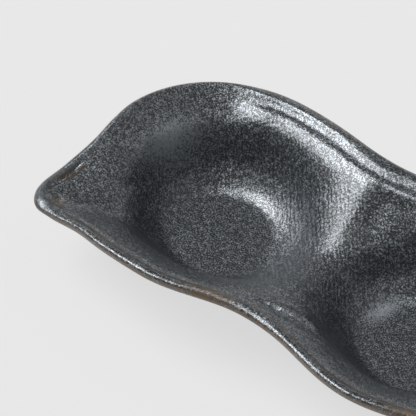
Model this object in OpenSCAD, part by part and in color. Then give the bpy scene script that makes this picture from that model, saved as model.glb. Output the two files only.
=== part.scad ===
// Pod-shaped stoneware dish with three round bowls in a row and a beak at each end.
// A slab of clay is pressed over a mould, three clay foot rings are set under it, and it is glazed.
// The origin is on the table under the middle of the dish: +X along the bowls, +Y to the rear, +Z up.

/* [Bowls] */
// Distance between the centres of neighbouring bowls
pitch = 80; // [72:1:95]
// Radius of the flat floor inside a bowl
floor_r = 16.5; // [14:0.5:19]
// Width of the curve that leads from the floor into the wall
floor_curve = 12; // [9:0.5:14]
// Share by which that curve is wider at the rear and tighter at the front
curve_lean = 0.22; // [0:0.02:0.3]
// Rise of the wall for each millimetre outward
wall_slope = 2.25; // [1.9:0.05:2.5]
// Share by which the wall is steeper at the front and gentler at the rear
wall_lean = 0.15; // [0:0.01:0.2]
// Share by which the wall is gentler toward a neighbouring bowl
saddle_ease = 0.5; // [0.3:0.02:0.6]
// Height over which the walls of two bowls are rounded together between them
saddle_round = 14; // [8:0.5:16]
// Height over which the top of the wall rolls over into the mouth
crest_round = 12; // [8:0.5:14]
// How much taller that roll is on the outer side of an end bowl
end_crest = 10; // [0:0.5:12]
// Distance past the centre of an end bowl over which the roll comes to that size
end_crest_run = 28; // [20:1:36]
// Depth of the flare round a bowl's mouth
mouth_flare = 7; // [4:0.25:8]
// Radius at which the flare is deepest
flare_start = 27; // [25:0.5:29]
// Radius at which the flare dies out
flare_end = 52; // [46:0.5:56]
// Height over which the flares of two mouths are rounded together
flare_round = 3; // [1:0.25:5]

/* [Ridge] */
// How far the shoulder falls on each side of the ridge that runs in from the rim between two bowls
ridge_drop = 1.5; // [0.5:0.1:2.5]
// Distance from the ridge over which most of that fall takes place
ridge_run = 9; // [6:0.5:12]
// Radius of the ridge's back
ridge_round = 1; // [0.5:0.1:2]
// Distance from the line of bowl centres at which the ridge has melted into the saddle
ridge_fade = 34; // [28:0.5:40]

/* [Outline] */
// Width of the clay dish across a bowl
dish_w = 92.5; // [86:0.5:104]
// How far the line of bowl centres lies in front of the dish's middle
bowl_front = 1.25; // [0:0.25:3]
// How far the front edge is drawn in between two bowls
front_draw = 7; // [4:0.5:9]
// How far the rear edge is drawn in between two bowls
back_draw = 4; // [2:0.5:7]
// Blunt end, measured from the centre of the end bowl
end_reach = 49; // [44:0.5:57]
// Rear edge's round end, centred this far behind the line of bowl centres
end_rise = 5; // [2:0.5:8]

/* [Beak] */
// How far the beak stands out past the blunt end
beak_out = 4; // [2:0.25:7]
// Beak's farthest point, measured in from the front edge
beak_in = 13.5; // [11:0.5:17]
// How far the front edge is drawn in behind the beak
neck_in = 4; // [3:0.25:6]
// Where the front edge starts to draw in, measured from the blunt end
neck_start = 34; // [30:0.5:38]
// How far the front edge is drawn in where it starts
neck_lead = 0.5; // [0:0.1:1]
// Where the neck begins, measured from the blunt end
neck_middle = 20; // [16:0.5:24]
// How much less the edge is drawn in where the neck begins
neck_ease = 1; // [0.5:0.1:1.5]
// Where the neck ends, measured from the beak's farthest point
neck_end = 12; // [10:0.5:14]
// Where the nose turns, measured back from the beak's farthest point
nose_back = 4; // [3:0.25:5]
// How much farther in the nose turns than the neck
nose_turn = 2; // [1:0.25:3]
// Brow behind the nose, measured back from the beak's farthest point
brow_back = 1.5; // [1:0.1:2]
// Brow, measured in from the beak's farthest point
brow_in = 11; // [9:0.5:13]
// Where the brow meets the blunt end, measured in from the beak's farthest point
brow_run = 24; // [21:0.5:27]
// How far the brow still stands out where it meets the blunt end
brow_lead = 0.5; // [0:0.1:1]

/* [Rim] */
// Height of the rim above the table
rim_h = 34.5; // [30:0.5:40]
// Radius of the rolled lip
lip_r = 1.7; // [1.4:0.1:2.2]
// How far the rim dips at a beak
beak_dip = 6; // [0:0.5:9]
// Distance from the beak over which the rim dips
beak_run = 45; // [30:1:60]
// Depth of the saddle between two bowls below the rim
saddle_drop = 7.2; // [6:0.2:9]
// Distance over which the shoulder falls from the lip to the saddle
shoulder_run = 36; // [28:0.5:36]
// Distance from the lip over which the flare and the wall's roll come to their full size
flare_run = 18; // [15:0.5:24]
// Groove pressed along the inside of the rim, measured from the edge
groove_in = 6.8; // [5.5:0.1:8]
// Width of the groove
groove_w = 3.4; // [2.4:0.1:4.4]
// Depth of the groove
groove_d = 0.6; // [0.3:0.1:1]
// Where the groove has died out, in front of the line of bowl centres
groove_front = 12; // [6:0.5:18]
// Distance over which the groove dies out toward the front
groove_fade = 30; // [20:0.5:40]
// Where the groove has died out, past the centre of an end bowl
groove_end = 32; // [26:0.5:40]
// Distance over which the groove dies out toward an end
groove_ease = 22; // [14:0.5:30]

/* [Clay] */
// Thickness of the clay under a bowl's floor
floor_t = 5; // [4:0.25:7]
// Thickness of the clay in the shoulder
shoulder_t = 4.5; // [3.5:0.25:6]
// How much farther out the wall starts underneath than inside
wall_run = 3.5; // [2.5:0.25:5]

/* [Foot rings] */
// Height of a foot ring
foot_h = 3; // [2:0.25:5]
// Width of a foot ring's band
foot_w = 5; // [3:0.25:6]
// Flat clay left outside a foot ring where it is set on
foot_margin = 2; // [1:0.25:3]
// Chamfer on the foot ring's lower edges
foot_chamfer = 0.8; // [0.3:0.1:1.2]

/* [Glaze] */
// Thickness of the glaze
glaze_t = 0.4; // [0.2:0.05:0.8]

/* [Hidden] */
$fn = 96;

clay_colour = "#6b5646";
glaze_colour = "#3b3e43";

// The dish is centred in its own box, so the bowls lie a little off the X axis.
bowl_y = -bowl_front;
// Front and rear edges at a bowl and between two bowls, measured from the line of bowl centres.
front_bulge = dish_w / 2 - bowl_front;
front_waist = front_bulge - front_draw;
back_bulge = dish_w / 2 + bowl_front;
back_waist = back_bulge - back_draw;
under_r = floor_r + wall_run;
foot_r = under_r - foot_margin;
floor_z = foot_h + floor_t;

// Half-width of the middle strip of faces between two bowls.
strip_half = 7;
// Angle between the lengthwise stations round a bowl's flat underside.
station_angle = 22.5;
// Stations from a bowl's flat underside to the middle of a saddle.
saddle_steps = 3;
// Points on each stretch between two knots of the beak.
beak_steps = 2;
// Points on the rounded rear corner of an end.
corner_steps = 5;
// Faces up a wall, inside and underneath.
wall_steps = 6;
under_steps = 5;
// Faces round the rolled lip.
lip_steps = 4;
// Where the shoulder meets the rim, and the first ring underneath, measured from the edge.
groove_gap = 0.5;
shoulder_in = groove_in + groove_w + groove_gap;
lip_gap = 0.8;
under_in = 2 * lip_r + lip_gap;
// Least height of a roll, so that it is never a division by zero.
least_roll = 0.01;

// Knots of the beak: distance past the blunt end, and distance in from the front edge.
beak_knots = [
  [-neck_start, neck_lead],
  [-neck_middle, neck_in - neck_ease],
  [beak_out - neck_end, neck_in],
  [beak_out - nose_back, neck_in + nose_turn],
  [beak_out, beak_in],
  [beak_out - brow_back, beak_in + brow_in],
  [brow_lead, beak_in + brow_run]
];
// The beak's farthest point among the end's knots, which start with two of the front edge.
tip_knot = 6;

function clamp(v, low, high) = max(low, min(high, v));
function smooth_step(t) = t * t * (3 - 2 * t);
function smooth_min(a, b, k) = min(a, b) - pow(max(k - abs(a - b), 0), 2) / k / 4;
function smooth_max(a, b, k) = -smooth_min(-a, -b, k);
function wave(bulge, waist, x) = (bulge + waist) / 2 + (bulge - waist) / 2 * cos(360 * x / pitch);

// Curve through the knots b and c, with a and d as their outer neighbours.
function curve_point(a, b, c, d, t) =
  0.5 * (2 * b + (c - a) * t + (2 * a - 5 * b + 4 * c - d) * t * t + (3 * b - a - 3 * c + d) * t * t * t);

// Lengthwise stations from one bowl's centre up to the next bowl's.
half_gap = concat(
  [for (a = [0:station_angle:90 - station_angle]) under_r * sin(a)],
  [for (k = [0:saddle_steps]) under_r + (pitch / 2 - under_r) * k / saddle_steps]
);
gap = concat(half_gap, [for (k = [len(half_gap) - 2:-1:1]) pitch - half_gap[k]]);
stations = concat([for (g = gap) g - pitch], gap, [pitch]);
station_n = len(stations);

// One end's outline from the front bulge round the beak to the rear bulge, from the bowl's centre.
function corner(a) = [end_reach * cos(a), end_rise + (back_bulge - end_rise) * sin(a)];
corner_angle = 90 / corner_steps;
end_knots = concat(
  [for (x = [-half_gap[1], 0]) [x, -wave(front_bulge, front_waist, x)]],
  [for (k = beak_knots) [end_reach + k[0], k[1] - front_bulge]],
  [corner(0), corner(corner_angle)]
);
end_curve = concat(
  [for (k = [1:len(end_knots) - 3]) for (s = [1:beak_steps])
    curve_point(end_knots[k - 1], end_knots[k], end_knots[k + 1], end_knots[k + 2], s / beak_steps)],
  [for (s = [1:corner_steps - 1]) corner(s * corner_angle)]
);
end_n = len(end_curve);

// The whole edge, anticlockwise from the left end bowl's front, and what each point runs in to.
edge = concat(
  [for (x = stations) [x, -wave(front_bulge, front_waist, x)]],
  [for (p = end_curve) [pitch + p[0], p[1]]],
  [for (k = [station_n - 1:-1:0]) [stations[k], wave(back_bulge, back_waist, stations[k])]],
  [for (k = [end_n - 1:-1:0]) [-pitch - end_curve[k][0], end_curve[k][1]]]
);
edge_n = len(edge);
function middle_of(i) =
  i < station_n ? i :
  i < station_n + end_n ? station_n - 1 :
  i < 2 * station_n + end_n ? 2 * station_n + end_n - 1 - i : 0;

run_to = [for (p = edge) [clamp(p[0], -pitch, pitch), 0]];
run_len = [for (i = [0:edge_n - 1]) norm(run_to[i] - edge[i])];
run_dir = [for (i = [0:edge_n - 1]) (run_to[i] - edge[i]) / run_len[i]];
// Share of a step along the run that goes square in from the edge.
run_share = [for (i = [0:edge_n - 1])
  let (along = edge[(i + 1) % edge_n] - edge[(i + edge_n - 1) % edge_n])
    (along[0] * run_dir[i][1] - along[1] * run_dir[i][0]) / norm(along)];

// Nearness of each point of the edge to a beak, from 0 to 1, and the rim's height there.
beak_tip = end_knots[tip_knot];
function nearness(p) = smooth_step(max(0, 1 - norm([abs(p[0]) - pitch, p[1]] - beak_tip) / beak_run));
beak_near = [for (p = edge) nearness(p)];
edge_z = [for (n = beak_near) rim_h - beak_dip * n];
// Share of a step along the run that counts for the shoulder's fall, which is even all over a beak.
fall_share = [for (i = [0:edge_n - 1]) run_share[i] + (1 - run_share[i]) * beak_near[i]];

// Height of a bowl's surface about the centre x, with its flat bottom of radius r at height z.
function bowl_out(p) = norm([abs(p[0]) - (abs(p[0]) > pitch / 2 ? pitch : 0), p[1]]);
function bowl_rise(t, curve) = t < curve ? t * t / curve / 2 : t - curve / 2;
function toward_next(d, x) = x == 0 ? abs(d) : max(0, -d * sign(x));
function one_bowl_z(p, x, r, z) =
  let (
    d = p[0] - x,
    out = norm([d, p[1]]),
    rear = p[1] / max(out, floor_r),
    next = toward_next(d, x) / max(out, floor_r),
    slope = wall_slope * (1 - wall_lean * rear - saddle_ease * next * next),
    curve = floor_curve * (1 + curve_lean * rear)
  )
    z + slope * bowl_rise(max(0, out - r), curve);
// Height of the three bowls together.
function bowl_z(p, r, z) =
  smooth_min(
    smooth_min(one_bowl_z(p, -pitch, r, z), one_bowl_z(p, 0, r, z), saddle_round),
    one_bowl_z(p, pitch, r, z),
    saddle_round
  );

// Depth of the flare at a radius r, and at a point between two mouths.
function flare_of(r) = mouth_flare * pow(clamp((flare_end - r) / (flare_end - flare_start), 0, 1), 2);
function flare_at(p) =
  smooth_max(flare_of(norm(p)), flare_of(norm([abs(p[0]) - pitch, p[1]])), flare_round);

// Fall of the shoulder beside the ridge that runs in from the rim between two bowls.
function ridge_off(p) = norm([abs(p[0]) - pitch / 2, ridge_round]) - ridge_round;
function ridge_left(p) = smooth_step(min(1, abs(p[1]) / ridge_fade));
function ridge_fall(p) = ridge_drop * ridge_left(p) * (1 - exp(-ridge_off(p) / ridge_run));

// Share of the groove's depth at each point of the edge, which has a groove along the rear only.
function groove_near(p) =
  smooth_step(clamp((p[1] + groove_front) / groove_fade, 0, 1))
  * smooth_step(clamp((pitch + groove_end - abs(p[0])) / groove_ease, 0, 1));
groove_share = [for (i = [0:edge_n - 1]) groove_near(edge[i]) * (1 - beak_near[i])];

// Height of the shoulder, which falls from the rim to the saddle, a distance w in from the edge.
saddle_z = rim_h - saddle_drop;
function flare_share(w) = clamp((w - lip_r) / flare_run, 0, 1);
function past_end(p) = smooth_step(clamp((abs(p[0]) - pitch) / end_crest_run, 0, 1));
function roll(p, w) = max(least_roll, (crest_round + end_crest * past_end(p)) * flare_share(w));
function fall_left(w) = pow(1 - clamp((w - lip_r) / shoulder_run, 0, 1), 2);
function shoulder_z(p, w, rim) =
  saddle_z + (rim - saddle_z) * fall_left(w) - (flare_at(p) + ridge_fall(p)) * flare_share(w);
function groove_fall(w) = groove_d * pow(cos(90 * clamp((w - groove_in) * 2 / groove_w, -1, 1)), 2);
function top_z(p, w, rim, groove) =
  let (shoulder = shoulder_z(p, w, rim) - groove_fall(w) * groove)
    max(floor_z, smooth_min(shoulder, bowl_z(p, floor_r, floor_z), roll(p, w)));
function under_z(p, w, rim) =
  max(foot_h, smooth_min(shoulder_z(p, w, rim) - shoulder_t, bowl_z(p, under_r, foot_h), roll(p, w)));

// Points of one ring round the dish, a distance w in from the edge.
function at_inset(i, w) = edge[i] + run_dir[i] * w / run_share[i];
function inset_of(i, p) = norm(p - edge[i]) * fall_share[i];
function top_point(i, p) = concat(p, [top_z(p, inset_of(i, p), edge_z[i], groove_share[i])]);
function under_point(i, p) = concat(p, [under_z(p, inset_of(i, p), edge_z[i])]);

// Length, from the middle line, of the run that lies on the flat of radius r.
function flat_len(i, r) =
  let (side = bowl_out(run_to[i]), chord = sqrt(max(0, r * r - side * side)))
    max(chord, strip_half);
// Point a share f of the way from the flat's edge to the inset w.
function wall_point(i, r, w, f) =
  let (near = flat_len(i, r), far = run_len[i] - w / run_share[i])
    run_to[i] - run_dir[i] * (near + (far - near) * f);

function top_wall_ring(f) =
  [for (i = [0:edge_n - 1]) top_point(i, wall_point(i, floor_r, shoulder_in, f))];
function under_wall_ring(f) =
  [for (i = [0:edge_n - 1]) under_point(i, wall_point(i, under_r, shoulder_in, f))];
function top_rim_ring(w) = [for (i = [0:edge_n - 1]) top_point(i, at_inset(i, w))];
function under_rim_ring(w) = [for (i = [0:edge_n - 1]) under_point(i, at_inset(i, w))];
// Ring on the lip at the angle a from its crest, on a lip of radius r about the same centre.
function lip_ring(a, r) =
  [for (i = [0:edge_n - 1])
    let (crest = top_point(i, at_inset(i, lip_r)))
      concat(at_inset(i, lip_r - r * sin(a)), [crest[2] - lip_r + r * cos(a)])];
function lifted(ring, h) = [for (p = ring) p + [0, 0, h]];

full_fall = lip_r + shoulder_run;
top_middle = [for (x = stations) [x, 0, top_z([x, 0], full_fall, rim_h, 0)]];
under_middle = [for (x = stations) [x, 0, under_z([x, 0], full_fall, rim_h)]];

top_rings = concat(
  [for (k = [0:wall_steps]) top_wall_ring(k / wall_steps)],
  [for (k = [1:-1:-1]) top_rim_ring(groove_in + k * groove_w / 2)]
);
under_rings = concat(
  [under_rim_ring(under_in)],
  [for (k = [under_steps:-1:0]) under_wall_ring(k / under_steps)]
);
lip_angles = [for (k = [0:lip_steps]) k * 180 / lip_steps];

// Two triangles for each place between two rings that start at the points a and b.
// On the way back over rings already passed, the places are split along the same diagonal.
function band(a, b, back) =
  [for (i = [0:edge_n - 1])
    let (j = (i + 1) % edge_n)
      each back
        ? [[a + i, b + i, a + j], [a + j, b + i, b + j]]
        : [[a + i, b + i, b + j], [a + i, b + j, a + j]]];
// Faces between a middle line that starts at the point m and a ring that starts at the point a.
function cap(m, a) =
  [for (i = [0:edge_n - 1])
    let (j = (i + 1) % edge_n, p = m + middle_of(i), q = m + middle_of(j))
      each concat([[p, a + i, a + j]], p == q ? [] : [[p, a + j, q]])];
function flipped(faces) = [for (f = faces) [f[0], f[2], f[1]]];
function flat_list(rings) = [for (r = rings) each r];

// Closed shell from one middle line, out over the rings and back to another middle line.
// From the ring numbered turn on, the rings go back over clay that another shell also covers.
module closed_shell(first, rings, last, turn) {
  ring_n = len(rings);
  end_at = station_n + ring_n * edge_n;
  polyhedron(
    points = concat(first, flat_list(rings), last),
    faces = flipped(concat(
      cap(0, station_n),
      [for (k = [0:ring_n - 2])
        each band(station_n + k * edge_n, station_n + (k + 1) * edge_n, k >= turn)],
      flipped(cap(end_at, end_at - edge_n))
    ))
  );
}

// Closed band whose last ring joins its first.
module closed_band(rings, turn) {
  ring_n = len(rings);
  polyhedron(
    points = flat_list(rings),
    faces = flipped(
      [for (k = [0:ring_n - 1]) each band(k * edge_n, (k + 1) % ring_n * edge_n, k >= turn)]
    )
  );
}

module placed(x) {
  translate([x, bowl_y, 0]) children();
}

// Pressed clay shell: bowls, saddles, shoulders, beaks and the rolled lip.
module stoneware_body() {
  rings = concat(top_rings, [for (a = lip_angles) lip_ring(a, lip_r)], under_rings);
  color(clay_colour) placed(0)
    closed_shell(top_middle, rings, under_middle, len(rings));
}

// Clay ring set under a bowl, with a flat bearing face and chamfered lower edges.
module foot_ring(x) {
  inner = foot_r - foot_w;
  color(clay_colour) placed(x)
    rotate_extrude()
      polygon([
        [inner, foot_h],
        [inner, foot_chamfer],
        [inner + foot_chamfer, 0],
        [foot_r - foot_chamfer, 0],
        [foot_r, foot_chamfer],
        [foot_r, foot_h]
      ]);
}

module foot_ring_left() { foot_ring(-pitch); }
module foot_ring_middle() { foot_ring(0); }
module foot_ring_right() { foot_ring(pitch); }

// Glaze over the bowls, the shoulders and the lip's outer half, thinner on the steep walls.
module inside_glaze() {
  upper = [for (a = lip_angles) if (a <= 90) a];
  coat = concat(
    [for (r = top_rings) lifted(r, glaze_t)],
    [for (a = upper) lip_ring(a, lip_r + glaze_t)]
  );
  clay = concat(top_rings, [for (a = upper) lip_ring(a, lip_r)]);
  clay_n = len(clay);
  color(glaze_colour) placed(0)
    closed_shell(
      lifted(top_middle, glaze_t),
      concat(coat, [for (k = [clay_n - 1:-1:0]) clay[k]]),
      top_middle,
      clay_n
    );
}

// Glaze underneath, from the lip to the strip of bare clay that holds the three foot rings.
module outside_glaze() {
  lower = [for (a = lip_angles) if (a >= 90) a];
  coat = concat(
    [for (a = lower) lip_ring(a, lip_r + glaze_t)],
    [for (r = under_rings) lifted(r, -glaze_t)]
  );
  clay = concat([for (a = lower) lip_ring(a, lip_r)], under_rings);
  clay_n = len(clay);
  color(glaze_colour) placed(0)
    closed_band(concat(coat, [for (k = [clay_n - 1:-1:0]) clay[k]]), clay_n);
}

stoneware_body();
foot_ring_left();
foot_ring_middle();
foot_ring_right();
inside_glaze();
outside_glaze();
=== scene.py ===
import math
from functools import partial
import bmesh
import bpy
import numpy as np
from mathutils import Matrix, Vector


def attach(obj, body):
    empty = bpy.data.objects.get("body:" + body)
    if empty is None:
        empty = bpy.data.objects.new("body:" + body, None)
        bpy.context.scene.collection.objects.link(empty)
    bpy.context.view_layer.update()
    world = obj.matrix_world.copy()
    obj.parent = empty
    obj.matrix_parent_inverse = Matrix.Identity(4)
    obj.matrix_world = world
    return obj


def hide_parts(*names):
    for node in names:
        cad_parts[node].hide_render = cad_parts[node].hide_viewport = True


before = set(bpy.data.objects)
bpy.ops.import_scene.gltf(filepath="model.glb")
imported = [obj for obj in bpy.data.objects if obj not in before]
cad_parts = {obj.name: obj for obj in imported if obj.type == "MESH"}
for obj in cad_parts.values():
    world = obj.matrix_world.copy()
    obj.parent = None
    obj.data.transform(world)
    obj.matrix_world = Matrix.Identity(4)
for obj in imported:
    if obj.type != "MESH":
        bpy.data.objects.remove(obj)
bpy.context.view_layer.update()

# Clay body: a slab of iron-bearing stoneware pressed over a mould with three round humps.
# Its edge is rolled to a lip and pinched into a beak at each end, and it is fired before glazing.
# Lengths are in millimetres, and y is measured from the line of bowl centres.
mm = 0.001
pitch, bowl_line = 80.0, -1.25
front_bulge, front_waist, back_bulge, back_waist = 45.0, 38.0, 47.5, 43.5
end_reach, end_rise, edge_lead = 49.0, 5.0, 7.65
tip_out, tip_in = 4.0, 13.5
beak_knots = [
    (-34.0, 0.5), (-20.0, 3.0), (-8.0, 4.0), (0.0, 6.0), (tip_out, tip_in), (2.5, 24.5), (0.5, 37.5),
]
beak_tip = (pitch + end_reach + tip_out, tip_in - front_bulge)
beak_run, beak_dip = 45.0, 6.0
rim_h, lip_r = 34.5, 1.7


def ease(t):
    t = np.clip(t, 0.0, 1.0)
    return t * t * (3.0 - 2.0 * t)


def rising(v, start, run):
    return ease((v - start) / run)


def falling(v, end, run):
    return ease((end - v) / run)


def bump_at(v, middle, half):
    return np.exp(-(((v - middle) / half) ** 2))


def soft_min(a, b, k):
    return np.minimum(a, b) - np.maximum(k - np.abs(a - b), 0.0) ** 2 / (4.0 * k)


def edge_wave(bulge, waist, x):
    return (bulge + waist) / 2 + (bulge - waist) / 2 * np.cos(2 * math.pi * x / pitch)


def curve_through(knots, steps):
    knots = np.asarray(knots, float)
    t = (np.arange(steps) / steps)[:, None]
    parts = []
    for a, b, c, d in zip(knots, knots[1:], knots[2:], knots[3:]):
        parts.append(0.5 * (2 * b + (c - a) * t + (2 * a - 5 * b + 4 * c - d) * t**2
                            + (3 * b - a - 3 * c + d) * t**3))
    return np.vstack(parts)


def end_corner(a):
    return np.stack([end_reach * np.cos(a), end_rise + (back_bulge - end_rise) * np.sin(a)], -1)


def pod_edge(side_steps=80, knot_steps=16, corner_steps=52):
    x = np.linspace(-pitch, pitch, 2 * side_steps + 1)
    front = np.stack([x, -edge_wave(front_bulge, front_waist, x)], 1)
    back = np.stack([x[::-1], edge_wave(back_bulge, back_waist, x[::-1])], 1)
    knots = [(-edge_lead, -edge_wave(front_bulge, front_waist, edge_lead)), (0.0, -front_bulge)]
    knots += [(end_reach + out, inward - front_bulge) for out, inward in beak_knots]
    knots += [tuple(end_corner(a)) for a in (0.0, math.pi / 10)]
    end = np.vstack([curve_through(knots, knot_steps),
                     end_corner(np.linspace(0, math.pi / 2, corner_steps + 1))])[1:-1]
    right = end + [pitch, 0.0]
    left = (end * [-1.0, 1.0] - [pitch, 0.0])[::-1]
    return np.vstack([front, right, back, left])


# From every point of the edge a run leads in to the line of bowl centres.
# The inset is how far a point on a run lies from the edge, measured square to it.
edge = pod_edge()
edge_n = len(edge)
edge_x, edge_y = edge[:, 0], edge[:, 1]
edge_far = np.abs(edge_x)
run = np.stack([np.clip(edge_x, -pitch, pitch), np.zeros(edge_n)], 1) - edge
run_len = np.hypot(run[:, 0], run[:, 1])
run_dir = run / run_len[:, None]
along = np.roll(edge, -1, 0) - np.roll(edge, 1, 0)
along /= np.hypot(along[:, 0], along[:, 1])[:, None]
run_share = along[:, 0] * run_dir[:, 1] - along[:, 1] * run_dir[:, 0]
tip_off = np.hypot(edge_far - beak_tip[0], edge_y - beak_tip[1])
beak_near = ease(1.0 - tip_off / beak_run)
edge_z = rim_h - beak_dip * beak_near
fall_share = run_share + (1.0 - run_share) * beak_near

# Each bowl has a flat floor that curves up into walls, less steep towards the saddles.
# High on the rear, the walls stand a little fuller.
floor_r, floor_curve, floor_z, curve_lean = 16.5, 12.0, 8.0, 0.22
wall_slope, wall_lean, saddle_ease, saddle_round = 2.25, 0.15, 0.5, 14.0
fuller_h, fuller_r, fuller_run, fuller_rear, fuller_turn = 6.0, 27.0, 9.0, 0.1, 0.4


def bowl_height(xy, flat_r, flat_z):
    heights = []
    for middle in (-pitch, 0.0, pitch):
        x = xy[:, 0] - middle
        out = np.hypot(x, xy[:, 1])
        rear = xy[:, 1] / np.maximum(out, floor_r)
        inner = np.maximum(-x * np.sign(middle), 0.0) if middle else np.abs(x)
        eased = saddle_ease * (inner / np.maximum(out, floor_r)) ** 2
        slope = wall_slope * (1.0 - wall_lean * rear - eased)
        curve = floor_curve * (1.0 + curve_lean * rear)
        t = np.maximum(out - flat_r, 0.0)
        heights.append(flat_z + slope * np.where(t < curve, t * t / curve / 2, t - curve / 2))
    return soft_min(soft_min(heights[0], heights[1], saddle_round), heights[2], saddle_round)


def fuller_wall(xy):
    far = np.abs(xy[:, 0])
    out = np.hypot(np.where(far > pitch / 2, far - pitch, far), xy[:, 1])
    rear = xy[:, 1] / np.maximum(out, 1.0)
    return fuller_h * rising(out, fuller_r, fuller_run) * rising(rear, fuller_rear, fuller_turn)


# The shoulder falls from the lip to the height of the saddles, and flares down into each mouth.
# Where it turns into a wall the crest is rolled over, widely at the ends and tighter at the rear.
saddle_drop, shoulder_run = 7.2, 36.0
mouth_flare, flare_start, flare_end, flare_run, flare_round = 7.0, 27.0, 52.0, 18.0, 3.0
ridge_drop, ridge_run, ridge_round, ridge_fade = 1.5, 9.0, 1.0, 34.0
crest_round, end_crest, end_crest_run, least_roll = 12.0, 10.0, 28.0, 0.01
rear_crest, rear_crest_y, rear_crest_run = 4.0, 15.0, 20.0


def mouth_depth(r):
    return mouth_flare * np.clip((flare_end - r) / (flare_end - flare_start), 0.0, 1.0) ** 2


def flare_depth(xy):
    far, y = np.abs(xy[:, 0]), xy[:, 1]
    from_ridge = np.hypot(far - pitch / 2, ridge_round) - ridge_round
    beside = ridge_drop * ease(np.abs(y) / ridge_fade) * (1.0 - np.exp(-from_ridge / ridge_run))
    middle, outer = mouth_depth(np.hypot(far, y)), mouth_depth(np.hypot(far - pitch, y))
    return beside - soft_min(-middle, -outer, flare_round)


def shoulder_height(xy, inset):
    share = np.clip((inset - lip_r) / flare_run, 0.0, 1.0)
    left = (1.0 - np.clip((inset - lip_r) / shoulder_run, 0.0, 1.0)) ** 2
    saddle = rim_h - saddle_drop
    height = saddle + (edge_z - saddle) * left - flare_depth(xy) * share
    crest = crest_round + end_crest * rising(np.abs(xy[:, 0]), pitch, end_crest_run)
    crest = crest - rear_crest * rising(xy[:, 1], rear_crest_y, rear_crest_run)
    return height, np.maximum(crest * share, least_roll)


# A groove is pressed inside the lip: a step along the rear, a valley beside the front bead.
# The profiles give how far in each point of the step lies and how high it stands, before its
# corners are worn. Here and below, a pair is a start or an end and its run, or a middle and its half.
rear_side, rear_ends = (-12.0, 30.0), (108.0, 18.0)
rear_share = rising(edge_y, *rear_side) * (1.0 - beak_near) * falling(edge_far, *rear_ends)
rear_waist_share = bump_at(edge_far, pitch / 2 + 2.0, 14.0)
rear_profile = [(1.7, 0.0), (3.2, 0.85), (5.6, 0.35), (8.8, 1.9), (13.0, 2.3), (24.0, 0.0)]
waist_profile = [(1.7, 0.0), (4.9, 1.4), (6.5, 0.9), (10.0, 1.9), (13.0, 1.9), (24.0, 0.0)]
swell_profile, swell_along = [(9.0, 0.9), (17.0, 0.0)], (57.0, 14.0)
worn_by = (-0.9, -0.3, 0.3, 0.9)
nose_at, nose_r, nose_full = (pitch + 47.0, -38.0), 10.0, 1.25
nose_share = ease(nose_full - np.hypot(edge_far - nose_at[0], edge_y - nose_at[1]) / nose_r)
front_side = (-32.0, 4.0)
front_share = falling(edge_y, *front_side) * (1.0 - nose_share)
valley_in, valley_half, valley_deep, valley_deeper = 3.6, 1.1, 0.25, 0.2


def on_profile(inset, profile):
    places, heights = zip(*profile)
    return np.interp(inset, places, heights)


def worn_profile(inset, profile):
    return sum(on_profile(inset + by, profile) for by in worn_by) / len(worn_by)


def rear_groove(inset):
    step, waist = worn_profile(inset, rear_profile), worn_profile(inset, waist_profile)
    swell = on_profile(inset, swell_profile) * bump_at(edge_far, *swell_along)
    return rear_share * (step + (waist - step) * rear_waist_share + swell)


def front_valley(inset):
    deep = valley_deep + valley_deeper * beak_near
    return -deep * front_share * bump_at(inset, valley_in, valley_half)


# Beside each beak's tip there is a small pocket with a bar inside it, and a hollow behind the tip.
# The lip is pinched thicker at the nose.
pocket_start, pocket_end = (1.0, 2.5), (14.5, 6.0)
pocket_share = rising(tip_off, *pocket_start) * falling(tip_off, *pocket_end) * (edge_y > beak_tip[1])
pocket_in, pocket_half, pocket_deep = 3.6, 0.7, 0.9
bar_in, bar_half, bar_high = 5.0, 0.6, 0.5
nose_in, nose_half, nose_high = 3.0, 1.6, 0.7
hollow_at, hollow_half, hollow_deep = (pitch + 43.6, -34.4), 2.6, 1.0


def near_hollow(xy):
    off = np.hypot(np.abs(xy[:, 0]) - hollow_at[0], xy[:, 1] - hollow_at[1])
    return bump_at(off, 0.0, hollow_half)


def beak_marks(xy, inset):
    bar = bar_high * bump_at(inset, bar_in, bar_half)
    pocket = pocket_deep * bump_at(inset, pocket_in, pocket_half)
    nose = nose_high * nose_share * bump_at(inset, nose_in, nose_half)
    return pocket_share * (bar - pocket) + nose - hollow_deep * near_hollow(xy)


# Each ridge between two bowls is pressed a little lower behind its middle, and its rear end falls
# off to the middle bowl. On the left waist's front a finger has pressed a short wavy stroke.
ridge_inset = (8.0, 5.0)
rear_fall, rear_fall_y, rear_fall_out, rear_fall_in = 2.4, (26.0, 11.0), (44.5, 12.0), (8.0, 18.0)
ridge_press, press_y, press_out, press_in = 1.5, (14.0, 12.0), (64.0, 20.0), (2.0, 38.0)
stroke_x, stroke_y, stroke_lean, stroke_from, stroke_limit = (-34.0, 10.0), -28.5, 0.2, 38.0, -15.0
stroke_high, stroke_deep, stroke_wave, wave_turn = 0.65, 0.85, 0.28, 1.6
stroke_crest, stroke_trough, stroke_ripple = (0.8, 1.6), (-2.2, 1.8), (-0.7, 1.5)


def ridge_marks(xy, inset):
    far, y = np.abs(xy[:, 0]), xy[:, 1]
    fall = falling(far, *rear_fall_out) * rising(far, *rear_fall_in) * bump_at(y, *rear_fall_y)
    press = falling(far, *press_out) * rising(far, *press_in) * bump_at(y, *press_y)
    return -rising(inset, *ridge_inset) * (rear_fall * fall + ridge_press * press)


def past_stroke(xy):
    return xy[:, 1] - stroke_y + stroke_lean * (np.abs(xy[:, 0]) - stroke_from)


def pressed_stroke(xy):
    past = past_stroke(xy)
    stroke = stroke_high * bump_at(past, *stroke_crest) - stroke_deep * bump_at(past, *stroke_trough)
    stroke = stroke + stroke_wave * np.sin(wave_turn * xy[:, 0]) * bump_at(past, *stroke_ripple)
    return stroke * bump_at(xy[:, 0], *stroke_x) * (xy[:, 1] < stroke_limit)


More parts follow.
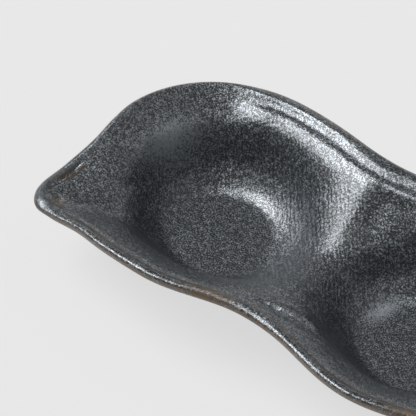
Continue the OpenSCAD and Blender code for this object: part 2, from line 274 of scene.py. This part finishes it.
# The body's upper and lower faces, and the rolled lip between them.
# On the front the lip has a bead that comes and goes, and is lost in two places where it was rubbed.
under_r, under_z, shoulder_t, strip_half, strip_round = 20.0, 3.0, 4.5, 7.0, 2.0
bead_sharp, bead_even, bead_flat, rubbed_places = 0.25, 0.6, 0.6, [(-56.0, 8.0), (22.0, 7.0)]
wide_place, wide_more, nose_more, rear_more = (38.0, 10.0), 0.5, 0.9, 0.9
lip_under, rim_width, lip_points = 0.8, 12.0, 17
body_fine, body_wide, body_under, body_strip = 20, 24, 40, 8
drift = 0.5 + 0.25 * np.sin(edge_x / 5.3 + 1.0) + 0.25 * np.sin(edge_x / 2.1 + edge_y / 3.7)
front_patch = front_share * sum(bump_at(edge_x, *place) for place in rubbed_places)
front_wide = front_share * bump_at(edge_far, *wide_place)
bead_edge = bead_sharp * front_share * (bead_even + (1.0 - bead_even) * drift)
bead_edge = bead_edge * (1.0 - bead_flat * front_wide) * (1.0 - np.minimum(front_patch, 1.0))
lip_wide = 1.0 + wide_more * front_wide + nose_more * nose_share
lip_wide = lip_wide + rear_more * rear_share * (1.0 - rear_waist_share)
lip_step = lip_r * lip_wide / run_share


def top_height(xy, step):
    inset = step * run_share
    shoulder, roll = shoulder_height(xy, step * fall_share)
    shoulder = shoulder + rear_groove(inset) + front_valley(inset) + beak_marks(xy, inset)
    shoulder = shoulder + ridge_marks(xy, inset) + pressed_stroke(xy)
    wall = bowl_height(xy, floor_r, floor_z) + fuller_wall(xy)
    return np.maximum(floor_z, soft_min(shoulder, wall, roll))


def under_height(xy, step):
    shoulder, roll = shoulder_height(xy, step * fall_share)
    return np.maximum(under_z, soft_min(shoulder - shoulder_t, bowl_height(xy, under_r, under_z), roll))


lip_crest = top_height(edge + run_dir * lip_step[:, None], lip_step)


def lip_ring(angle, coat):
    reach = (lip_r + coat) * (1.0 + bead_edge * math.sin(2 * min(angle, math.pi / 2)) ** 2)
    step = (lip_r - reach * math.sin(angle)) * lip_wide / run_share
    return np.column_stack([edge + run_dir * step[:, None], lip_crest - lip_r + reach * math.cos(angle)])


def ring_at(step, height, lift=0.0):
    xy = edge + run_dir * step[:, None]
    return np.column_stack([xy, height(xy, step) + lift])


def top_steps(fine, wide):
    rim = [lip_step + (rim_width / run_share - lip_step) * k / fine for k in range(1, fine + 1)]
    return rim + [rim[-1] + (run_len - rim[-1]) * k / wide for k in range(1, wide + 1)]


def bare_edge():
    side = np.minimum(np.abs(np.where(edge_far > pitch / 2, edge_far - pitch, edge_far)), pitch / 2)
    side = np.where(edge_far > pitch, 0.0, side)
    chord = np.sqrt(np.maximum(under_r**2 - side**2, 0.0))
    return run_len + soft_min(-chord, np.full(edge_n, -strip_half), strip_round)


def under_steps(count):
    start = (2 * lip_r + lip_under) / run_share
    return [start + (bare_edge() - start) * k / count for k in range(count + 1)]


def strip_steps(count):
    return [bare_edge() + (run_len - bare_edge()) * k / count for k in range(1, count + 1)]


def ring_mesh(name, rings, closed):
    points = np.vstack(rings) + [0.0, bowl_line, 0.0]
    count = len(rings)
    faces = []
    for k in range(count if closed else count - 1):
        a, b = k * edge_n, (k + 1) % count * edge_n
        faces += [(a + i, b + i, b + (i + 1) % edge_n, a + (i + 1) % edge_n) for i in range(edge_n)]
    mesh = bpy.data.meshes.new(name)
    mesh.from_pydata((points * mm).tolist(), [], faces)
    return mesh


def finished(mesh, sharp=50.0, weld=2e-6):
    work = bmesh.new()
    work.from_mesh(mesh)
    bmesh.ops.remove_doubles(work, verts=work.verts, dist=weld)
    bmesh.ops.recalc_face_normals(work, faces=work.faces)
    work.to_mesh(mesh)
    work.free()
    mesh.shade_smooth()
    mesh.set_sharp_from_angle(angle=math.radians(sharp))
    piece = bpy.data.objects.new(mesh.name, mesh)
    bpy.context.scene.collection.objects.link(piece)
    return piece


body_top = top_steps(body_fine, body_wide)
body_rings = [ring_at(s, top_height) for s in reversed(body_top)]
body_rings += [lip_ring(a, 0.0) for a in np.linspace(0, math.pi, lip_points)]
body_rings += [ring_at(s, under_height) for s in under_steps(body_under) + strip_steps(body_strip)]
clay_body = finished(ring_mesh("clay_body", body_rings, closed=False))

bare_clay = bpy.data.materials.new("bare_clay")
bare_clay.use_nodes = True
clay_dark, clay_light, grog_pale = (0.19, 0.115, 0.07, 1), (0.28, 0.18, 0.115, 1), (0.42, 0.32, 0.23, 1)


def feed(material, socket, value):
    if isinstance(value, bpy.types.NodeSocket):
        material.node_tree.links.new(value, socket)
    else:
        socket.default_value = value


def add_node(material, kind, **inputs):
    made = material.node_tree.nodes.new(kind)
    for name, value in inputs.items():
        key = int(name[3:]) if name.startswith("in_") else name.replace("_", " ")
        feed(material, made.inputs[key], value)
    return made


def grain(material, scale, detail=3.0, rough=0.6):
    place = material.node_tree.nodes.get("place")
    if place is None:
        place = add_node(material, "ShaderNodeTexCoord")
        place.name = "place"
    made = add_node(material, "ShaderNodeTexNoise", Vector=place.outputs["Object"],
                    Scale=scale, Detail=detail, Roughness=rough)
    return made.outputs["Fac"]


def levels(material, value, low, high, to_low=0.0, to_high=1.0):
    made = add_node(material, "ShaderNodeMapRange", Value=value, From_Min=low, From_Max=high,
                    To_Min=to_low, To_Max=to_high)
    return made.outputs["Result"]


def blend(material, share, first, second):
    made = material.node_tree.nodes.new("ShaderNodeMix")
    made.data_type = "RGBA"
    for key, value in ((0, share), (6, first), (7, second)):
        feed(material, made.inputs[key], value)
    return made.outputs[2]


clay_shader = bare_clay.node_tree.nodes["Principled BSDF"]
clay_patches = levels(bare_clay, grain(bare_clay, scale=90.0, detail=4.0), 0.35, 0.65)
clay_grog = levels(bare_clay, grain(bare_clay, scale=1400.0, detail=2.0), 0.58, 0.68)
clay_tone = blend(bare_clay, clay_patches, clay_dark, clay_light)
clay_tone = blend(bare_clay, clay_grog, clay_tone, grog_pale)
feed(bare_clay, clay_shader.inputs["Base Color"], clay_tone)
clay_shader.inputs["Roughness"].default_value = 0.88
clay_relief = add_node(bare_clay, "ShaderNodeBump", Strength=0.6, Distance=0.0001,
                       Height=grain(bare_clay, scale=1100.0, detail=4.0))
feed(bare_clay, clay_shader.inputs["Normal"], clay_relief.outputs[0])

clay_body.data.materials.append(bare_clay)
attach(clay_body, "root")
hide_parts("stoneware_body")

# Foot rings: three coils of the same clay, thrown and set face to face under the bowls with slip.
# Their bearing faces are wiped clean of glaze and their lower edges are softened with a sponge.
foot_out, foot_in, foot_soft, foot_turns, foot_edge = 18.0, 13.0, 0.8, 160, 7
foot_profile = [(foot_in, under_z)]
for a in np.linspace(0, math.pi / 2, foot_edge):
    foot_profile.append((foot_in + foot_soft * (1 - math.cos(a)), foot_soft * (1 - math.sin(a))))
for a in np.linspace(math.pi / 2, 0, foot_edge):
    foot_profile.append((foot_out - foot_soft * (1 - math.cos(a)), foot_soft * (1 - math.sin(a))))
foot_profile.append((foot_out, under_z))
foot_n = len(foot_profile)

for side, middle in (("left", -pitch), ("middle", 0.0), ("right", pitch)):
    points, faces = [], []
    for t in range(foot_turns):
        turn = 2 * math.pi * t / foot_turns
        for r, z in foot_profile:
            point = Vector((middle + r * math.cos(turn), bowl_line + r * math.sin(turn), z))
            points.append(point * mm)
        a, b = t * foot_n, (t + 1) % foot_turns * foot_n
        faces += [(a + k, b + k, b + (k + 1) % foot_n, a + (k + 1) % foot_n) for k in range(foot_n)]
    foot_mesh = bpy.data.meshes.new("foot_ring_clay_" + side)
    foot_mesh.from_pydata(points, [], faces)
    foot = finished(foot_mesh)
    foot.data.materials.append(bare_clay)
    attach(foot, "root")
    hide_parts("foot_ring_" + side)

# Inside glaze: an iron glaze poured over the bowls, the shoulders and the lip's upper half.
# It fires to a satin charcoal full of fine grey crystals, and breaks brown where it runs thin over
# the lip, the front bead and the marks at the beaks; the hollow behind each tip is painted dark brown
# as painted shade. The cloth that lined the mould shows through it.
glaze_t, coat_fine, coat_wide = 0.4, 48, 56
glaze_upper = np.linspace(0, math.pi / 2, lip_points)
coat_steps = list(reversed(top_steps(coat_fine, coat_wide)))
coat_rings = [ring_at(s, top_height, glaze_t) for s in coat_steps]
coat_rings += [lip_ring(a, glaze_t) for a in glaze_upper]
inner_rings = [lip_ring(a, 0.0) for a in reversed(glaze_upper)]
inner_rings += [ring_at(s, top_height) for s in body_top]

# How thin the glaze lies (with painted shade added in the hollow behind each tip), how smooth it is,
# where a sheen is painted on, and how strongly the cloth and wiping show. Thin lines have a place, a
# half width and a strength. The painted sheen is a painted reflection on the bowls' left walls, a
# fainter painted highlight on the walls that face them, and a painted highlight along the pressed
# stroke.
bead_lines = [(2.0, 0.4, 1.0), (valley_in, 0.9, 0.4)]
pocket_lines = [(pocket_in - 0.8, 0.45, 1.0), (bar_in + 0.5, 0.4, 1.0)]
hollow_thin, patch_full, patch_run, line_least = 0.7, 1.4, 3.0, 0.3
lip_line_half, rear_line_at, outer_thin, outer_from = 0.5, (0.9, 0.25), 0.6, (0.7, 0.3)
smooth_end, smooth_run = 2.6, 1.2
sheen_streak_much, streak_at = 1.2, (math.radians(20.0), 0.36)
end_streak, middle_streak = (34.0, 4.5), (18.0, 3.0)
facing_sheen_much, facing_at, facing_out = 0.3, (math.radians(37.0), 0.55), (26.5, 4.0)
stroke_sheen_much, stroke_along, stroke_across = 0.7, (-34.0, 8.0), (-0.6, 0.9)
saddle_cloth, saddle_half, saddle_in = 0.5, 13.0, (12.0, 6.0)
cloth_low, cloth_high, cloth_least, cloth_lean = (20.0, 6.0), (40.0, 7.0), 0.6, (0.8, 0.6)
wiped_far, wiped_y = (33.0, 8.0), (-13.5, 4.0)
marks = {"thin": [], "smooth": [], "painted_sheen": [], "cloth": [], "wiped": []}


def thin_lines(inset, lines):
    return sum(much * bump_at(inset, at, half) for at, half, much in lines)


broken_line = line_least + (1.0 - line_least) * drift
for step, ring in zip(coat_steps, coat_rings):
    inset = step * run_share
    far, y = np.abs(ring[:, 0]), ring[:, 1]
    in_end = far > pitch / 2
    beside = np.where(in_end, ring[:, 0] - pitch * np.sign(ring[:, 0]), ring[:, 0])
    out = np.hypot(beside, y)

    thin = front_share * thin_lines(inset, bead_lines) * broken_line
    thin = thin + front_patch * np.clip(patch_full - inset / patch_run, 0.0, 1.0)
    # The hollow behind each tip is painted dark brown here, as painted shade in the hollow.
    thin = thin + pocket_share * thin_lines(inset, pocket_lines) + hollow_thin * near_hollow(ring)
    marks["thin"].append(np.clip(thin, 0.0, 1.0))

    smooth = np.clip(1.0 - (inset - smooth_end) / smooth_run, 0.0, 1.0)
    marks["smooth"].append(smooth * beak_near * (1.0 - front_share))

    # Painted sheen: a painted reflection on the bowls' left walls, a fainter painted highlight on the
    # walls that face them, and a painted highlight along the pressed stroke.
    sheen_streak = np.where(in_end, bump_at(out, *end_streak), bump_at(out, *middle_streak))
    sheen_streak = sheen_streak * bump_at(np.arctan2(y, -beside), *streak_at)
    facing_sheen = bump_at(out, *facing_out) * bump_at(np.arctan2(y, beside), *facing_at)
    stroke = bump_at(ring[:, 0], *stroke_along) * bump_at(past_stroke(ring), *stroke_across)
    marks["painted_sheen"].append(sheen_streak_much * sheen_streak + stroke_sheen_much * stroke + facing_sheen_much * facing_sheen)

    saddle = bump_at(far, pitch / 2, saddle_half) * rising(inset, *saddle_in)
    lean = (cloth_lean[0] * beside + cloth_lean[1] * y) / np.maximum(out, 1.0)
    walls = rising(out, *cloth_low) * falling(out, *cloth_high)
    walls = walls * (cloth_least + (1.0 - cloth_least) * lean)
    marks["cloth"].append(np.clip(saddle_cloth * saddle + walls, 0.0, 1.0))
    marks["wiped"].append(bump_at(far, *wiped_far) * bump_at(y, *wiped_y))
for a in glaze_upper:
    lip_line = bump_at(a, math.pi / 2, lip_line_half) * (0.5 + 0.5 * drift)
    rear_line = (edge_y > 0.0) * bump_at(a, *rear_line_at) * broken_line
    outer_face = outer_thin * front_share * rising(a, *outer_from)
    marks["thin"].append(np.clip(lip_line + rear_line + outer_face + front_patch, 0.0, 1.0))
    marks["smooth"].append(beak_near * (1.0 - front_share))
    for name in ("painted_sheen", "cloth", "wiped"):
        marks[name].append(np.zeros(edge_n))
for mark in marks.values():
    mark += [np.zeros(edge_n) for ring in inner_rings]

coat_mesh = ring_mesh("glaze_inside", coat_rings + inner_rings, closed=False)
for name, mark in marks.items():
    coat_mesh.attributes.new(name, "FLOAT", "POINT").data.foreach_set("value", np.concatenate(mark))
glaze_inside = finished(coat_mesh)

iron_glaze = bpy.data.materials.new("iron_glaze")
iron_glaze.use_nodes = True
glaze_dark, glaze_crystal = (0.012, 0.013, 0.015, 1), (0.39, 0.428, 0.461, 1)
glaze_cloud, glaze_brown = (0.05, 0.053, 0.058, 1), (0.12, 0.075, 0.04, 1)


def math_of(material, kind, a, b):
    made = add_node(material, "ShaderNodeMath", in_0=a, in_1=b)
    made.operation = kind
    return made.outputs[0]


def mark_on(material, name):
    made = add_node(material, "ShaderNodeAttribute")
    made.attribute_name = name
    return made.outputs["Fac"]


def threads(material, turn, scale, wobble):
    place = material.node_tree.nodes["place"].outputs["Object"]
    turned = add_node(material, "ShaderNodeMapping", Vector=place,
                      Rotation=(0.0, 0.0, math.radians(turn)))
    made = add_node(material, "ShaderNodeTexWave", Vector=turned.outputs[0], Scale=scale,
                    Distortion=wobble, Detail=1.0, Detail_Scale=1.2)
    return made.outputs["Fac"]


glaze_shader = iron_glaze.node_tree.nodes["Principled BSDF"]
plus, times, less = (partial(math_of, iron_glaze, kind) for kind in ("ADD", "MULTIPLY", "SUBTRACT"))

# Crystals float in clumps. They are rubbed flat on the beak's lip, and crowd where the sheen is painted
# on, as painted reflection and painted highlight.
crystals = grain(iron_glaze, scale=1900.0, detail=2.0, rough=0.6)
clumps = grain(iron_glaze, scale=620.0, detail=2.0, rough=0.55)
rubbed = times(mark_on(iron_glaze, "smooth"), 0.75)
flecks = plus(times(crystals, 0.75), times(clumps, 0.25))
flecks = plus(times(flecks, less(1.0, rubbed)), times(rubbed, 0.53))
painted_sheen_lift = times(mark_on(iron_glaze, "painted_sheen"), 0.105)

# The cloth's threads run in two directions and printed unevenly.
warp = threads(iron_glaze, turn=-37.0, scale=230.0, wobble=5.0)
weft = threads(iron_glaze, turn=53.0, scale=200.0, wobble=5.0)
uneven = levels(iron_glaze, grain(iron_glaze, scale=120.0, detail=2.0), 0.35, 0.65, 0.25, 1.0)
printed = times(mark_on(iron_glaze, "cloth"), uneven)
weave = times(plus(warp, times(weft, 0.6)), printed)
inked = times(less(weave, times(printed, 0.8)), 0.06)

# Where the glaze is thin it breaks to brown in specks, which are less metallic and less glossy. The same
# brown is painted into the hollow behind each tip as painted shade.
specks = levels(iron_glaze, grain(iron_glaze, scale=700.0), 0.32, 0.54)
broken = times(mark_on(iron_glaze, "thin"), specks)
# The painted sheen lifts the flecks towards the pale crystal colour, as painted reflection and painted
# highlight.
bright = levels(iron_glaze, plus(plus(flecks, painted_sheen_lift), inked), 0.465, 0.63)
clouds = levels(iron_glaze, grain(iron_glaze, scale=75.0), 0.3, 0.7)
glaze_tone = blend(iron_glaze, bright, glaze_dark, glaze_crystal)
glaze_tone = blend(iron_glaze, times(clouds, 0.2), glaze_tone, glaze_cloud)
glaze_tone = blend(iron_glaze, broken, glaze_tone, glaze_brown)
feed(iron_glaze, glaze_shader.inputs["Base Color"], glaze_tone)
metal = times(levels(iron_glaze, flecks, 0.455, 0.50), less(1.0, times(broken, 0.85)))
feed(iron_glaze, glaze_shader.inputs["Metallic"], metal)
gloss = levels(iron_glaze, flecks, 0.45, 0.6, 0.25, 0.47)
gloss = plus(plus(gloss, times(mark_on(iron_glaze, "cloth"), 0.25)), times(broken, 0.2))
feed(iron_glaze, glaze_shader.inputs["Roughness"], gloss)
glaze_shader.inputs["IOR"].default_value = 1.45
glaze_shader.inputs["Coat Weight"].default_value = 0.7
glaze_shader.inputs["Coat Roughness"].default_value = 0.36

wipes = times(threads(iron_glaze, turn=86.0, scale=300.0, wobble=1.0), mark_on(iron_glaze, "wiped"))
relief = plus(times(crystals, 0.14), times(weave, 0.45))
relief = plus(plus(relief, times(wipes, 0.5)), times(clumps, 0.4))
glaze_relief = add_node(iron_glaze, "ShaderNodeBump", Strength=1.0, Distance=0.0003, Height=relief)
feed(iron_glaze, glaze_shader.inputs["Normal"], glaze_relief.outputs[0])
feed(iron_glaze, glaze_shader.inputs["Coat Normal"], glaze_relief.outputs[0])

glaze_inside.data.materials.append(iron_glaze)
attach(glaze_inside, "root")
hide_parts("inside_glaze")

# Outside glaze: the same glaze on the lip's lower half and the underside, poured on upside down.
# It stops at the bare strip that is waxed before glazing, so that the foot rings stay clean.
hem_width, hem_least, hem_thin, skin_under = 1.2, 0.03, 0.8, 60
glaze_lower = np.linspace(math.pi / 2, math.pi, lip_points)
hem_steps = under_steps(skin_under)
hem_left = [np.clip((bare_edge() - s) / hem_width, 0.0, 1.0) for s in hem_steps]
skin_rings = [lip_ring(a, glaze_t) for a in glaze_lower]
for step, left in zip(hem_steps, hem_left):
    coat = glaze_t * np.sqrt(hem_least + (1.0 - hem_least) * left)
    skin_rings.append(ring_at(step, under_height, -coat))
seat_rings = [ring_at(s, under_height) for s in reversed(hem_steps[::3])]
seat_rings += [lip_ring(a, 0.0) for a in reversed(glaze_lower)]
skin_thin = []
for a in glaze_lower:
    lip_line = bump_at(a, math.pi / 2, lip_line_half) * (0.5 + 0.5 * drift)
    skin_thin.append(np.clip(lip_line + front_patch, 0.0, 1.0))
skin_thin += [hem_thin * (1.0 - left) for left in hem_left]
skin_thin += [np.zeros(edge_n) for ring in seat_rings]

skin_mesh = ring_mesh("glaze_outside", skin_rings + seat_rings, closed=True)
skin_mesh.attributes.new("thin", "FLOAT", "POINT").data.foreach_set("value", np.concatenate(skin_thin))
glaze_outside = finished(skin_mesh)
glaze_outside.data.materials.append(iron_glaze)
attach(glaze_outside, "root")
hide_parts("outside_glaze")

# Table: one wide sheet of pale board that the dish stands on, swept up far behind it, in metres.
# Seen by the camera or in the glaze it stays pale, and it still takes the dish's soft shadow.
azimuth, elevation = math.radians(37.0), math.radians(49.6)
to_right = Vector((math.cos(azimuth), math.sin(azimuth), 0.0))
to_back = Vector((-math.sin(azimuth), math.cos(azimuth), 0.0))
board_front, board_back, board_top, board_side, sweep_r = -9.0, 3.9, 2.7, 9.0, 1.2
board_line = [(board_front, 0.0)]
for a in np.linspace(0, math.pi / 2, 13):
    board_line.append((board_back - sweep_r * (1.0 - math.sin(a)), sweep_r * (1.0 - math.cos(a))))
board_line.append((board_back, board_top))
board_points = []
for back, up in board_line:
    for right in (-board_side, board_side):
        board_points.append(to_right * right + to_back * back + Vector((0.0, 0.0, up)))
board_faces = [(2 * k, 2 * k + 1, 2 * k + 3, 2 * k + 2) for k in range(len(board_line) - 1)]
table_mesh = bpy.data.meshes.new("table")
table_mesh.from_pydata(board_points, [], board_faces)
table_mesh.shade_smooth()
table = bpy.data.objects.new("table", table_mesh)
bpy.context.scene.collection.objects.link(table)

pale_board = bpy.data.materials.new("pale_board")
pale_board.use_nodes = True
board_shader = pale_board.node_tree.nodes["Principled BSDF"]
board_shader.inputs["Base Color"].default_value = (0.8, 0.8, 0.8, 1)
board_shader.inputs["Roughness"].default_value = 0.9
board_shader.inputs["Specular IOR Level"].default_value = 0.0
board_pale = add_node(pale_board, "ShaderNodeEmission", Color=(0.82, 0.82, 0.82, 1), Strength=1.0)
rays = add_node(pale_board, "ShaderNodeLightPath")
seen = math_of(pale_board, "MAXIMUM", rays.outputs["Is Camera Ray"], rays.outputs["Is Glossy Ray"])
shown = add_node(pale_board, "ShaderNodeMixShader", in_0=math_of(pale_board, "MULTIPLY", seen, 0.8),
                 in_1=board_shader.outputs[0], in_2=board_pale.outputs[0])
feed(pale_board, pale_board.node_tree.nodes["Material Output"].inputs["Surface"], shown.outputs[0])
table.data.materials.append(pale_board)

# Studio: a large soft light from the left and a little behind, a weak wide one from the right,
# and an even pale room. The camera looks down from the front right at the left bowl.
studio = bpy.data.worlds.new("studio")
bpy.context.scene.world = studio
studio.use_nodes = True
studio.node_tree.nodes["Background"].inputs["Color"].default_value = (1.0, 1.0, 1.0, 1)
studio.node_tree.nodes["Background"].inputs["Strength"].default_value = 0.15

lamps = [
    ("soft_light", 2.7, 40.0, (-0.547, 0.138, 0.824)),
    ("right_light", 0.30, 70.0, (0.60, 0.10, 0.79)),
]
for name, energy, width, (right, back, up) in lamps:
    light = bpy.data.lights.new(name, "SUN")
    light.energy = energy
    light.angle = math.radians(width)
    lamp = bpy.data.objects.new(name, light)
    shines_from = to_right * right + to_back * back + Vector((0.0, 0.0, up))
    lamp.rotation_mode = "QUATERNION"
    lamp.rotation_quaternion = shines_from.to_track_quat("Z", "Y")
    bpy.context.scene.collection.objects.link(lamp)

look_at, look_from = Vector((-0.0852, -0.0020, 0.020)), 0.700
look_back = Vector((math.sin(azimuth) * math.cos(elevation), -math.cos(azimuth) * math.cos(elevation),
                    math.sin(elevation)))
camera_data = bpy.data.cameras.new("camera")
camera_data.sensor_width = 36.0
camera_data.lens = 176.8
camera_data.clip_start = 0.01
camera = bpy.data.objects.new("camera", camera_data)
camera.location = look_at + look_back * look_from
camera.rotation_mode = "QUATERNION"
camera.rotation_quaternion = (-look_back).to_track_quat("-Z", "Y")
bpy.context.scene.collection.objects.link(camera)
bpy.context.scene.camera = camera
bpy.context.scene.view_settings.view_transform = "Standard"
